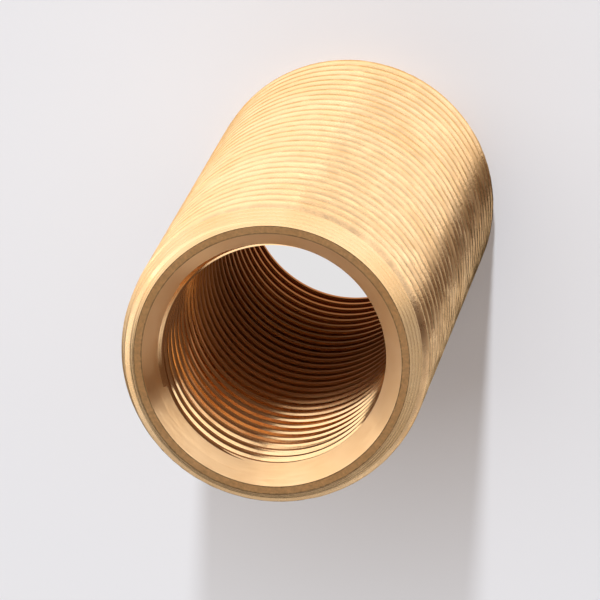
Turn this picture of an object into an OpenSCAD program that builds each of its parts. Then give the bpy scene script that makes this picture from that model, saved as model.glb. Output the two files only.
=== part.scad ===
// Thread adapter: one turned brass sleeve, with a left-hand thread along its outside and a right-hand one in its bore.
// It stands on one end, with its axis on +Z and its origin at the centre of the lower end.

/* [Sleeve] */
// Length from end to end
sleeve_length = 30; // [18:0.5:34]
// Pitch of both threads
pitch = 1; // [1:0.05:1.25]

/* [Outer thread] */
// Diameter over the crests of the outer thread
outer_thread_d = 13.9; // [13.6:0.1:16]
// Hand of the outer thread
outer_hand = -1; // [-1:left, 1:right]
// How far each end's outer chamfer goes in from the crests
chamfer_depth = 0.73; // [0.4:0.01:0.9]
// How far each end's outer chamfer runs along the sleeve
chamfer_length = 1.15; // [0.6:0.05:1.8]

/* [Bore thread] */
// Diameter of the bore, over the crests of its thread
bore_d = 10; // [8:0.1:10.1]
// Hand of the bore thread
bore_hand = 1; // [-1:left, 1:right]
// Diameter of each countersink at its mouth
countersink_d = 11.7; // [10.8:0.1:11.8]
// Angle across each countersink's cone
countersink_angle = 80; // [70:5:130]

/* [Hidden] */
$fn = 96;
// flat sides in one turn of a helix
turn_sides = 20;
flank = tan(30);
outer_r = outer_thread_d / 2;
bore_r = bore_d / 2;
outer_depth = 0.6 * pitch;
bore_depth = 0.5 * pitch;
// how far the outer thread's corners stand over the crest before the blank trims them round
crest_trim = 0.08;
// where each thread starts at the lower end, in degrees round the sleeve
outer_start = 0;
bore_start = 270;
countersink_r = countersink_d / 2;
countersink_length = (countersink_r - bore_r) / tan(countersink_angle / 2);
end_face_r = outer_r - chamfer_depth;

// Half section of the sleeve before threading: bore, countersinks, flat end faces and outer chamfers
module sleeve_section() {
    polygon([
        [bore_r, countersink_length],
        [countersink_r, 0],
        [end_face_r, 0],
        [outer_r, chamfer_length],
        [outer_r, sleeve_length - chamfer_length],
        [end_face_r, sleeve_length],
        [countersink_r, sleeve_length],
        [bore_r, sleeve_length - countersink_length],
    ]);
}

// A threaded rod that runs out past both ends of the sleeve. Half widths are measured along the axis.
module threaded_rod(hand, start, root_r, root_half, crest_r, crest_half) {
    section = [[root_r, -root_half], [crest_r, -crest_half], [crest_r, crest_half], [root_r, root_half]];
    n = turn_sides;
    steps = (ceil(sleeve_length / pitch) + 2) * n;
    rings = [
        for (i = [0:steps], p = section)
            let (turn = start + hand * 360 * i / n)
            [p[0] * cos(turn), p[0] * sin(turn), p[1] + pitch * (i / n - 1)]
    ];
    points = concat(rings, [[0, 0, -pitch], [0, 0, pitch * (steps / n - 1)]]);
    low = len(rings);
    high = low + 1;
    flanks_and_crests = [
        for (i = [0:steps - 1], k = [0:2])
            let (a = 4 * i + k)
            each [[a, a + 1, a + 5], [a, a + 5, a + 4]]
    ];
    roots = [
        for (i = [0:steps - n - 1])
            let (a = 4 * i + 3, b = 4 * (i + n))
            each [[a, b, b + 4], [a, b + 4, a + 4]]
    ];
    // each end closes with a fan from the axis to the edge of the last turn
    low_edge = concat([for (i = [0:n]) 4 * i], [3, 2, 1, 0]);
    high_edge = concat([for (i = [steps:-1:steps - n]) 4 * i + 3], [for (k = [0:3]) 4 * steps + k]);
    ends = concat(
        [for (j = [1:len(low_edge) - 1]) [low, low_edge[j - 1], low_edge[j]]],
        [for (j = [1:len(high_edge) - 1]) [high, high_edge[j - 1], high_edge[j]]]
    );
    faces = concat(flanks_and_crests, roots, ends);
    // a left-hand thread runs the other way round, which turns its faces over
    polyhedron(points, hand > 0 ? faces : [for (f = faces) [f[2], f[1], f[0]]]);
}

module outer_thread() {
    crest_half = 0.1 * pitch;
    threaded_rod(
        outer_hand, outer_start,
        outer_r - outer_depth, crest_half + outer_depth * flank,
        outer_r + crest_trim, crest_half - crest_trim * flank
    );
}

// The bore's tap, which reaches in past the crests that it leaves
module bore_tap() {
    crest_half = 0.35 * pitch;
    threaded_rod(
        bore_hand, bore_start,
        bore_r - 0.1, crest_half + 0.1 * flank,
        bore_r + bore_depth, crest_half - bore_depth * flank
    );
}

module threaded_sleeve() {
    color("goldenrod")
    difference() {
        intersection() {
            rotate_extrude() sleeve_section();
            outer_thread();
        }
        bore_tap();
    }
}

threaded_sleeve();
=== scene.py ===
"""Thread adapter: a brass sleeve with a fine thread outside and in its bore.

It stands on end on a pale studio floor.
"""

import math
import random

import bmesh
import bpy
from mathutils import Matrix, Vector


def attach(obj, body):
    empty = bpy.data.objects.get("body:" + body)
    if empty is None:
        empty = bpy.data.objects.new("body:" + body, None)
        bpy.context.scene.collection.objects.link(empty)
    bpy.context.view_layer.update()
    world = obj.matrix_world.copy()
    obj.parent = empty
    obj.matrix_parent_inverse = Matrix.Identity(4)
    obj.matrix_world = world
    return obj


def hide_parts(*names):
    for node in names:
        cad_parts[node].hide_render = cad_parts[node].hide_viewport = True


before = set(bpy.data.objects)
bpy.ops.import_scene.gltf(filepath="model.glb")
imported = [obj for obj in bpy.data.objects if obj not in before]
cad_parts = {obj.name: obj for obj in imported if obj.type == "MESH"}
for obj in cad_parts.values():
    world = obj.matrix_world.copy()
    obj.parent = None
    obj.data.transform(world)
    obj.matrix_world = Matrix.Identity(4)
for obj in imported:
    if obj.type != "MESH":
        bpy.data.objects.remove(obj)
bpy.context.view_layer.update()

MM = 0.001
random.seed(14)

# The sleeve, in millimetres
LENGTH = 30.0
CREST_R = 6.95  # over the outer thread
ROOT_R = 6.35
BORE_CREST_R = 5.0
BORE_ROOT_R = 5.5
PITCH = 1.0
OUTER_HAND = -1  # -1 is a left-hand thread, 1 a right-hand one
BORE_HAND = 1
# Degrees round the sleeve where height 0 of each profile below meets the lower end
OUTER_START = 0.0
BORE_START = 270.0
# Steps in one turn of each thread
OUTER_COLUMNS = 180
BORE_COLUMNS = 132
# How far the outer thread's crests wander, and how near to the crest a corner has to be to do so
RAGGED = 0.007
CREST_BAND = 0.03
# One pitch of each thread as (radius, height). The first and last radius are alike.
# The outer crests are worn round on their upper side, and the bore's grooves are hollow.
OUTER_THREAD = [
    (ROOT_R, -0.38), (CREST_R, -0.04), (CREST_R, 0.04), (6.91, 0.10), (6.84, 0.17),
    (ROOT_R, 0.62),
]
BORE_THREAD = [
    (BORE_CREST_R, -0.34), (5.09, -0.29), (5.24, -0.15), (5.40, 0.01), (BORE_ROOT_R, 0.12),
    (BORE_ROOT_R, 0.14), (BORE_CREST_R, 0.42), (BORE_CREST_R, 0.66),
]
# A rod is at least this many turns longer than the sleeve, and starts this many turns below it
SPARE_TURNS = 4
TURNS_BELOW = 3

# The ends
CHAMFER_DEPTH, CHAMFER_LENGTH = 0.73, 1.15
END_FACE_R = CREST_R - CHAMFER_DEPTH
COUNTERSINK_R = 5.85
COUNTERSINK_SLOPE = math.tan(math.radians(45))
COUNTERSINK_LENGTH = (COUNTERSINK_R - BORE_CREST_R) / COUNTERSINK_SLOPE
# The blank is wider than the sleeve's wall on both sides, so that its faces stay clear of it.
# It is turned by part of half a step, to keep its edges off the thread's.
BLANK_INNER_R, BLANK_OUTER_R = 4.3, 7.4
BLANK_TURN = 0.7
# Tool marks round each chamfer: how many, the first one's place, their spacing and section
MARKS = 5
FIRST_MARK, MARK_STEP = 0.10, 0.115
MARK_HALF_WIDTH, MARK_DEPTH = 0.014, 0.009

# Corners nearer than this are joined, and corners nearer than LEVEL to a plane lie on it
MERGE = 0.002
LEVEL = 0.001
SHARP_ANGLE = 12  # degrees


# ---------------------------------------------------------------- shapes


def new_object(name, bm):
    """Puts the mesh being built into the scene as an object of that name."""
    mesh = bpy.data.meshes.new(name)
    bmesh.ops.recalc_face_normals(bm, faces=bm.faces)
    bm.to_mesh(mesh)
    bm.free()
    obj = bpy.data.objects.new(name, mesh)
    bpy.context.scene.collection.objects.link(obj)
    return obj


def chain(bm, points):
    """Vertices and edges that join (radius, height) points in the plane of +X and Z."""
    verts = [bm.verts.new((r * MM, 0, z * MM)) for r, z in points]
    edges = [bm.edges.new(pair) for pair in zip(verts, verts[1:])]
    return verts, edges


def turn_about_axis(bm, verts, angle):
    matrix = Matrix.Rotation(angle, 3, "Z")
    bmesh.ops.rotate(bm, verts=verts, cent=(0, 0, 0), matrix=matrix)


def threaded_rod(name, profile, hand, columns, start, ragged):
    """A closed rod threaded with that profile, longer than the sleeve at both ends.

    ragged is how far its crests wander.
    """
    crest_r = max(r for r, z in profile)
    bm = bmesh.new()
    verts, edges = chain(bm, profile)
    turn_about_axis(bm, verts, math.radians(start))
    bmesh.ops.spin(
        bm,
        geom=verts + edges,
        cent=(0, 0, 0),
        axis=(0, 0, 1),
        dvec=(0, 0, PITCH * MM / columns),
        angle=hand * 2 * math.pi,
        steps=columns,
        use_merge=False,
    )
    # one turn is doubled until the rod is long enough
    turns = 1
    while turns < LENGTH / PITCH + SPARE_TURNS:
        copy = bmesh.ops.duplicate(bm, geom=bm.verts[:] + bm.edges[:] + bm.faces[:])["geom"]
        copied = [g for g in copy if isinstance(g, bmesh.types.BMVert)]
        bmesh.ops.translate(bm, verts=copied, vec=(0, 0, turns * PITCH * MM))
        turns *= 2
    bmesh.ops.translate(bm, verts=bm.verts, vec=(0, 0, -TURNS_BELOW * PITCH * MM))
    bmesh.ops.remove_doubles(bm, verts=bm.verts, dist=MERGE * MM)
    for v in bm.verts:
        r = math.hypot(v.co.x, v.co.y) / MM
        if ragged and r > crest_r - CREST_BAND:
            inward = 1 - abs(random.gauss(0, ragged)) / crest_r
            shift = random.gauss(0, ragged) * MM
            v.co = Vector((v.co.x * inward, v.co.y * inward, v.co.z + shift))
    # both ends are cut off level and closed
    for height, up in ((-PITCH, -1), (LENGTH + PITCH, 1)):
        bmesh.ops.bisect_plane(
            bm,
            geom=bm.verts[:] + bm.edges[:] + bm.faces[:],
            plane_co=(0, 0, height * MM),
            plane_no=(0, 0, up),
            clear_outer=True,
        )
        rim = [
            e for e in bm.edges
            if e.is_boundary and abs(e.verts[0].co.z - height * MM) < LEVEL * MM
        ]
        bmesh.ops.contextual_create(bm, geom=rim)
    return new_object(name, bm)


def ring_blank(name, points, columns):
    """A closed ring turned from (radius, height) points."""
    bm = bmesh.new()
    verts, edges = chain(bm, points)
    edges.append(bm.edges.new((verts[-1], verts[0])))
    turn_about_axis(bm, verts, math.pi / columns * BLANK_TURN)
    bmesh.ops.spin(
        bm,
        geom=verts + edges,
        cent=(0, 0, 0),
        axis=(0, 0, 1),
        angle=2 * math.pi,
        steps=columns,
        use_merge=True,
    )
    bmesh.ops.remove_doubles(bm, verts=bm.verts, dist=MERGE * MM)
    return new_object(name, bm)


def chamfer_depth_at(r):
    """How far along the sleeve from its end the chamfer reaches that radius."""
    return (r - END_FACE_R) * (CHAMFER_LENGTH / CHAMFER_DEPTH)


def end_points(height, up):
    """The turned section of one end, from inside the bore out past the crests.

    up is true for the upper end.
    """
    points = [
        (BLANK_INNER_R, (COUNTERSINK_R - BLANK_INNER_R) / COUNTERSINK_SLOPE),
        (COUNTERSINK_R, 0),
        (END_FACE_R, 0),
    ]
    for i in range(MARKS):
        r = END_FACE_R + FIRST_MARK + i * MARK_STEP
        before, after = r - MARK_HALF_WIDTH, r + MARK_HALF_WIDTH
        points += [
            (before, chamfer_depth_at(before)),
            (r, chamfer_depth_at(r) + MARK_DEPTH),
            (after, chamfer_depth_at(after)),
        ]
    points.append((BLANK_OUTER_R, chamfer_depth_at(BLANK_OUTER_R)))
    return [(r, height - z if up else height + z) for r, z in points]


def cut(target, tool, operation):
    """Combines target with tool, and takes the tool away."""
    m = target.modifiers.new(operation, "BOOLEAN")
    m.object, m.operation, m.solver = tool, operation, "MANIFOLD"
    depsgraph = bpy.context.evaluated_depsgraph_get()
    done = bpy.data.meshes.new_from_object(target.evaluated_get(depsgraph))
    target.modifiers.clear()
    target.data = done
    bpy.data.objects.remove(tool)


def make_sleeve():
    """The sleeve: both threads cut, with chamfers and countersinks at its ends."""
    sleeve = threaded_rod(
        "brass_sleeve", OUTER_THREAD, OUTER_HAND, OUTER_COLUMNS, OUTER_START, RAGGED
    )
    section = end_points(0, False) + end_points(LENGTH, True)[::-1]
    blank = ring_blank("blank", section, OUTER_COLUMNS)
    tap = threaded_rod("tap", BORE_THREAD, BORE_HAND, BORE_COLUMNS, BORE_START, 0.0)
    cut(sleeve, blank, "INTERSECT")
    cut(sleeve, tap, "DIFFERENCE")
    sleeve.data.materials.clear()
    return sleeve


# ---------------------------------------------------------------- materials

BRASS = (0.93, 0.645, 0.363)
END_FACE_BRASS = (0.80, 0.53, 0.27)
# What each kind of stain, and each painted shade, leaves of the brass's colour
PATCH = (0.94, 0.88, 0.78)
MOTTLE = (0.55, 0.55, 0.55)
EDGE_DIRT = (0.35, 0.35, 0.35)
# painted shade down in the outer thread's groove
GROOVE_PAINTED_SHADE = (0.70, 0.70, 0.70)
# painted shade deep in the bore
BORE_PAINTED_SHADE = (0.66, 0.53, 0.43)
# Depths in the bore, in millimetres, over which painted shade darkens it and it turns duller
PAINTED_SHADE_FROM, PAINTED_SHADE_TO = 7.5, 10.5
DULL_FROM, DULL_TO, DULLNESS = 8.0, 12.0, 0.22


def stained(base, stain):
    """The base colour under that stain or painted shade, with its alpha."""
    return [c * s for c, s in zip(base, stain)] + [1]


class Nodes:
    """A material's nodes, made and linked by name."""

    def __init__(self, name):
        self.material = bpy.data.materials.new(name)
        self.material.use_nodes = True
        self.tree = self.material.node_tree
        self.tree.nodes.clear()

    def add(self, kind, settings=None, **inputs):
        node = self.tree.nodes.new(kind)
        for key, value in (settings or {}).items():
            setattr(node, key, value)
        for key, value in inputs.items():
            self.set(node, key.replace("_", " "), value)
        return node

    def set(self, node, socket, value):
        target = node.inputs[int(socket)] if socket.isdigit() else node.inputs[socket]
        if isinstance(value, bpy.types.NodeSocket):
            self.tree.links.new(value, target)
        else:
            target.default_value = value

    def math(self, operation, a, b=0.0):
        node = self.add("ShaderNodeMath", {"operation": operation})
        self.set(node, "0", a)
        self.set(node, "1", b)
        return node.outputs[0]

    def mix(self, factor, a, b):
        """Mixes two colours."""
        node = self.add("ShaderNodeMix", {"data_type": "RGBA"})
        for index, value in ((0, factor), (6, a), (7, b)):
            self.set(node, str(index), value)
        return node.outputs[2]

    def mix_levels(self, factor, a, b):
        """Mixes two numbers."""
        node = self.add("ShaderNodeMix", {"data_type": "FLOAT"})
        for index, value in ((0, factor), (2, a), (3, b)):
            self.set(node, str(index), value)
        return node.outputs[0]

    def mix_shaders(self, factor, a, b):
        node = self.add("ShaderNodeMixShader")
        for index, value in ((0, factor), (1, a), (2, b)):
            self.set(node, str(index), value)
        return node.outputs[0]

    def remap(self, value, low, high, to_low=0.0, to_high=1.0):
        """Takes low to to_low and high to to_high, and stays between them."""
        node = self.add("ShaderNodeMapRange")
        self.set(node, "Value", value)
        self.set(node, "From Min", low)
        self.set(node, "From Max", high)
        self.set(node, "To Min", to_low)
        self.set(node, "To Max", to_high)
        return node.outputs[0]

    def noise(self, vector, scale, detail, roughness):
        node = self.add(
            "ShaderNodeTexNoise", Vector=vector, Scale=scale, Detail=detail, Roughness=roughness
        )
        return node.outputs["Fac"]

    def distance(self, axes):
        """The distance from the Z axis, given the separate coordinates."""
        squares = [self.math("MULTIPLY", axes[i], axes[i]) for i in (0, 1)]
        return self.math("SQRT", self.math("ADD", *squares))

    def surface(self, shader):
        """Makes that shader the material's, and returns the material."""
        out = self.add("ShaderNodeOutputMaterial")
        self.set(out, "Surface", shader)
        return self.material


def brass(
    name, base, roughness, marks, grit, anisotropic, rim=None, groove=None, painted_depth_shade=False
):
    """Machined brass.

    marks is the depth of the tool marks round the axis and grit that of the fine roughness, in
    millimetres. rim is a mottled face's inner and outer radius. groove is the radius up to which
    painted shade lies thick in a groove, and the one where it ends. The last argument is for the
    bore, which it darkens towards its middle with painted shade.
    """
    n = Nodes(name)
    place = n.add("ShaderNodeTexCoord").outputs["Object"]
    mm = n.add("ShaderNodeVectorMath", {"operation": "SCALE"})
    n.set(mm, "0", place)
    n.set(mm, "Scale", 1 / MM)
    mm = mm.outputs[0]
    axes = n.add("ShaderNodeSeparateXYZ", Vector=mm).outputs
    radius = n.distance(axes)
    depth = n.math("MINIMUM", axes[2], n.math("SUBTRACT", LENGTH, axes[2]))

    # streaks that run round the axis: slow along the turn, fast along the axis and across the wall
    turned = n.add("ShaderNodeCombineXYZ")
    n.set(turned, "X", n.math("DIVIDE", axes[0], radius))
    n.set(turned, "Y", n.math("DIVIDE", axes[1], radius))
    across = n.math("ADD", axes[2], n.math("MULTIPLY", radius, 0.8))
    n.set(turned, "Z", n.math("MULTIPLY", across, 2.0))
    streaks = n.noise(turned.outputs[0], 6.0, 4.0, 0.6)
    fine = n.noise(mm, 9.0, 3.0, 0.6)
    bump = n.add("ShaderNodeBump", Strength=1.0, Distance=marks * MM, Height=streaks)
    bump = n.add(
        "ShaderNodeBump", Strength=1.0, Distance=grit * MM, Height=fine, Normal=bump.outputs[0]
    )

    patches = n.noise(mm, 0.35, 3.0, 0.5)
    shade = n.mix(n.remap(patches, 0.35, 0.7), [*base, 1], stained(base, PATCH))
    if rim:
        # a mottled face, darker along its ragged inner and outer edges
        mottled = n.remap(n.noise(mm, 5.0, 4.0, 0.7), 0.35, 0.65, 0.0, 0.55)
        shade = n.mix(mottled, shade, stained(base, MOTTLE))
        wander = n.math("SUBTRACT", n.noise(mm, 7.0, 3.0, 0.6), 0.5)
        ragged = n.math("ADD", radius, n.math("MULTIPLY", wander, 0.12))
        inner = n.remap(ragged, rim[0] + 0.01, rim[0] + 0.06)
        outer = n.remap(ragged, rim[1] - 0.01, rim[1] - 0.05)
        shade = n.mix(n.math("MINIMUM", inner, outer), stained(base, EDGE_DIRT), shade)
    if groove:
        # painted shade down in the groove, which comes and goes, and keeps off the chamfers
        broken = n.remap(n.noise(mm, 1.6, 3.0, 0.6), 0.35, 0.6, 0.35, 1.0)
        groove_shade = n.math("MULTIPLY", n.remap(radius, groove[0], groove[1], 1.0, 0.0), broken)
        groove_shade = n.math("MULTIPLY", groove_shade, n.math("GREATER_THAN", depth, CHAMFER_LENGTH))
        shade = n.mix(groove_shade, shade, stained(base, GROOVE_PAINTED_SHADE))
    rough = n.remap(streaks, 0.3, 0.7, roughness - 0.05, roughness + 0.07)
    if painted_depth_shade:
        # painted shade: the bore darkens towards its middle, and it turns duller there
        shade = n.mix(n.remap(depth, PAINTED_SHADE_FROM, PAINTED_SHADE_TO), shade, stained(base, BORE_PAINTED_SHADE))
        rough = n.math("ADD", rough, n.remap(depth, DULL_FROM, DULL_TO, 0.0, DULLNESS))

    along = n.add("ShaderNodeCombineXYZ")
    n.set(along, "X", n.math("MULTIPLY", axes[1], -1.0))
    n.set(along, "Y", axes[0])
    shader = n.add(
        "ShaderNodeBsdfPrincipled",
        Metallic=1.0,
        Anisotropic=anisotropic,
        Tangent=along.outputs[0],
        Normal=bump.outputs[0],
    )
    shader.inputs["Base Color"].default_value = [*base, 1]
    n.set(shader, "Base Color", shade)
    n.set(shader, "Roughness", rough)
    n.set(shader, "Anisotropic Rotation", 0.25)
    return n.surface(shader.outputs[0])


# The floor. Its distances are in metres from the sleeve's axis.
FLOOR_HALF_SIZE = 1.5
FLOOR_COLOUR = (0.78, 0.79, 0.81)
FLOOR_GLOW, FLOOR_GLOW_COLOUR = 0.82, (0.97, 0.965, 1.0)
# the floor under the bore, as the camera sees it through the sleeve
HOLE_R = 6.0 * MM
HOLE_GLOW, HOLE_GLOW_COLOUR = 0.775, (1.0, 0.985, 0.99)
# painted reflection, a glow on the floor that only mirror rays see: warm under the sleeve and near
# it, and pale further off
FOOTPRINT = (0.0065, 0.0066)  # where what lies under the sleeve gives way to what is round it
GLOSS_FADE = (0.25, 0.35)  # where the mirrored floor fades out, short of the lamps
UNDER_COLOUR = (1.0, 0.52, 0.28)
NEAR_COLOUR = (1.0, 0.85, 0.62)
FAR_COLOUR = (1.0, 0.97, 0.93)
BRIGHT_SIDE = (0.595, -0.804)  # the side, along X and Y, that it mirrors bright


def floor_material():
    """A pale floor that keeps its shadow.

    The brass mirrors a painted reflection on it, a glow that only mirror rays see: dark under the
    sleeve and on one side, and paler further off.
    """
    n = Nodes("pale floor")
    place = n.add("ShaderNodeTexCoord").outputs["Object"]
    axes = n.add("ShaderNodeSeparateXYZ", Vector=place).outputs
    radius = n.distance(axes)
    path = n.add("ShaderNodeLightPath").outputs

    # as the camera sees it: part of its brightness is its own glow, and less of it near the
    # sleeve, which paints the lamp's real shadow darker near the sleeve and fainter further off
    diffuse = n.add("ShaderNodeBsdfDiffuse")
    diffuse.inputs["Color"].default_value = (*FLOOR_COLOUR, 1)
    lit = n.add("ShaderNodeEmission")
    lit.inputs["Color"].default_value = (*FLOOR_GLOW_COLOUR, 1)
    lit.inputs["Strength"].default_value = FLOOR_GLOW
    own = n.math("MULTIPLY", path["Is Camera Ray"], n.remap(radius, 0.011, 0.024, 0.10, 0.62))
    seen = n.mix_shaders(own, diffuse.outputs[0], lit.outputs[0])

    # as the brass mirrors it: a painted reflection, a glow that only mirror rays see
    towards = [n.math("MULTIPLY", axes[i], BRIGHT_SIDE[i]) for i in (0, 1)]
    front = n.math("DIVIDE", n.math("ADD", *towards), radius)
    back_level = n.remap(radius, 0.035, 0.075, 0.07, 0.60)
    front_level = n.remap(radius, 0.02, 0.07, 0.95, 1.25)
    around = n.mix_levels(n.remap(front, -0.10, 0.40), back_level, front_level)
    under = n.remap(radius, 0.003, 0.0048, 0.05, 0.55)
    outside = n.remap(radius, *FOOTPRINT)
    tint = n.mix(n.remap(radius, 0.035, 0.075), [*NEAR_COLOUR, 1], [*FAR_COLOUR, 1])
    painted_reflection = n.add("ShaderNodeEmission")
    n.set(painted_reflection, "Color", n.mix(outside, [*UNDER_COLOUR, 1], tint))
    n.set(painted_reflection, "Strength", n.mix_levels(outside, under, around))
    fading = n.math("MULTIPLY", path["Is Glossy Ray"], n.remap(radius, *GLOSS_FADE, 1.0, 0.0))
    mirrored = n.mix_shaders(fading, seen, painted_reflection.outputs[0])

    # as the camera sees it through the bore
    hole = n.add("ShaderNodeEmission")
    hole.inputs["Color"].default_value = (*HOLE_GLOW_COLOUR, 1)
    hole.inputs["Strength"].default_value = HOLE_GLOW
    inside = n.math("MULTIPLY", n.math("LESS_THAN", radius, HOLE_R), path["Is Camera Ray"])
    return n.surface(n.mix_shaders(inside, mirrored, hole.outputs[0]))


# ---------------------------------------------------------------- the sleeve

OUTSIDE, END_FACE, COUNTERSINK, BORE = range(4)
ON_END = 0.002  # millimetres within which a face counts as on the end
# The countersink's faces are told from the thread's by how far they lean
COUNTERSINK_LEAN = (0.62, 0.78)


def part_of_sleeve(face):
    """Which of the four materials that face of the sleeve has."""
    x, y, z = face.center / MM
    r = math.hypot(x, y)
    depth = min(z, LENGTH - z)
    if depth < ON_END:
        return END_FACE
    if r >= COUNTERSINK_R:
        return OUTSIDE
    low, high = COUNTERSINK_LEAN
    if depth < COUNTERSINK_LENGTH and low < abs(face.normal.z) < high:
        return COUNTERSINK
    return BORE


sleeve = make_sleeve()
# in the order of the four numbers above
for m in (
    brass("brass", BRASS, 0.26, 0.003, 0.004, 0.5, groove=(6.76, 6.87)),
    brass(
        "brass end face", END_FACE_BRASS, 0.55, 0.01, 0.03, 0.0, rim=(COUNTERSINK_R, END_FACE_R)
    ),
    brass("brass countersink", BRASS, 0.34, 0.002, 0.002, 0.5),
    brass("brass bore", BRASS, 0.14, 0.002, 0.001, 0.3, painted_depth_shade=True),
):
    sleeve.data.materials.append(m)
for f in sleeve.data.polygons:
    f.material_index = part_of_sleeve(f)
    f.use_smooth = True
sleeve.data.set_sharp_from_angle(angle=math.radians(SHARP_ANGLE))
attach(sleeve, "root")
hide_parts("threaded_sleeve")

# ---------------------------------------------------------------- floor and lights

LAMP_DISTANCE = 0.36  # metres from the axis to each upright lamp
WHITE = (1.0, 1.0, 1.0)
WARM = (1.0, 0.92, 0.80)
COOL = (0.90, 0.94, 1.0)
ROOM_COLOUR = (0.13, 0.072, 0.045)


def area_lamp(name, location, turn, width, height, level, tint):
    """A soft rectangular lamp that the camera doesn't see.

    level is how bright it looks in a mirror.
    """
    data = bpy.data.lights.new(name, "AREA")
    data.shape, data.size, data.size_y = "RECTANGLE", width, height
    data.energy, data.color = level * math.pi * width * height, tint
    lamp = bpy.data.objects.new(name, data)
    lamp.location = location
    lamp.rotation_euler = turn
    lamp.visible_camera = False
    bpy.context.scene.collection.objects.link(lamp)


def wall_lamp(name, azimuth, span, low, high, level):
    """An upright lamp that faces the sleeve, from the height low to high in metres.

    azimuth is where it stands round the sleeve, from +X towards +Y, and span is its width as
    seen from the sleeve, both in degrees.
    """
    width = 2 * LAMP_DISTANCE * math.tan(math.radians(span / 2))
    away = Vector((math.cos(math.radians(azimuth)), math.sin(math.radians(azimuth)), 0))
    location = away * LAMP_DISTANCE + Vector((0, 0, (low + high) / 2))
    turn = (-away).to_track_quat("-Z", "Y").to_euler()
    area_lamp(name, location, turn, width, high - low, level, WHITE)


bm = bmesh.new()
bmesh.ops.create_grid(bm, x_segments=1, y_segments=1, size=FLOOR_HALF_SIZE)
floor = new_object("floor", bm)
floor.data.materials.append(floor_material())

wall_lamp("key left", -102, 78, 0.0, 0.20, 1.50)
wall_lamp("key left top", -95, 62, 0.20, 0.36, 0.24)
wall_lamp("key right", -27, 74, 0.0, 0.165, 1.50)
wall_lamp("key right top", -27, 74, 0.165, 0.50, 1.45)
wall_lamp("side", 38, 64, 0.0, 0.16, 1.40)
wall_lamp("back", 105, 70, 0.05, 0.22, 1.40)
wall_lamp("back left", 165, 66, 0.0, 0.11, 0.72)
area_lamp("overhead", (0.05, 0.15, 0.60), (0, 0, 0), 0.44, 0.50, 0.64, WARM)

# The lamp that casts the shadow on the floor. The brass doesn't mirror it.
SHADOW_AZIMUTH, SHADOW_ELEVATION, SHADOW_SOFTNESS = -67, 40, 3  # degrees
sun_data = bpy.data.lights.new("shadow lamp", "SUN")
sun_data.energy, sun_data.color = 2.6, COOL
sun_data.angle = math.radians(SHADOW_SOFTNESS)
sun = bpy.data.objects.new("shadow lamp", sun_data)
away = Vector((
    math.cos(math.radians(SHADOW_AZIMUTH)),
    math.sin(math.radians(SHADOW_AZIMUTH)),
    math.tan(math.radians(SHADOW_ELEVATION)),
))
sun.rotation_euler = away.to_track_quat("Z", "Y").to_euler()
sun.visible_glossy = False
bpy.context.scene.collection.objects.link(sun)

world = bpy.data.worlds.new("studio")
world.use_nodes = True
world.node_tree.nodes["Background"].inputs["Color"].default_value = (*ROOM_COLOUR, 1)
bpy.context.scene.world = world

# ---------------------------------------------------------------- camera

FOCAL_LENGTH, SENSOR_WIDTH = 412.3, 36.0  # millimetres
ROLL = -153.59  # degrees

camera_data = bpy.data.cameras.new("camera")
camera_data.lens, camera_data.sensor_width = FOCAL_LENGTH, SENSOR_WIDTH
camera_data.clip_start, camera_data.clip_end = 0.01, 10.0
camera = bpy.data.objects.new("camera", camera_data)
bpy.context.scene.collection.objects.link(camera)
camera.location = (0.0, -0.09298, 0.32157)
target = Vector((0.00006, 0.00136, 0.01542))
level_view = (target - camera.location).to_track_quat("-Z", "Y").to_matrix()
camera.rotation_euler = (level_view @ Matrix.Rotation(math.radians(ROLL), 3, "Z")).to_euler()
bpy.context.scene.camera = camera

bpy.context.scene.view_settings.view_transform = "Standard"
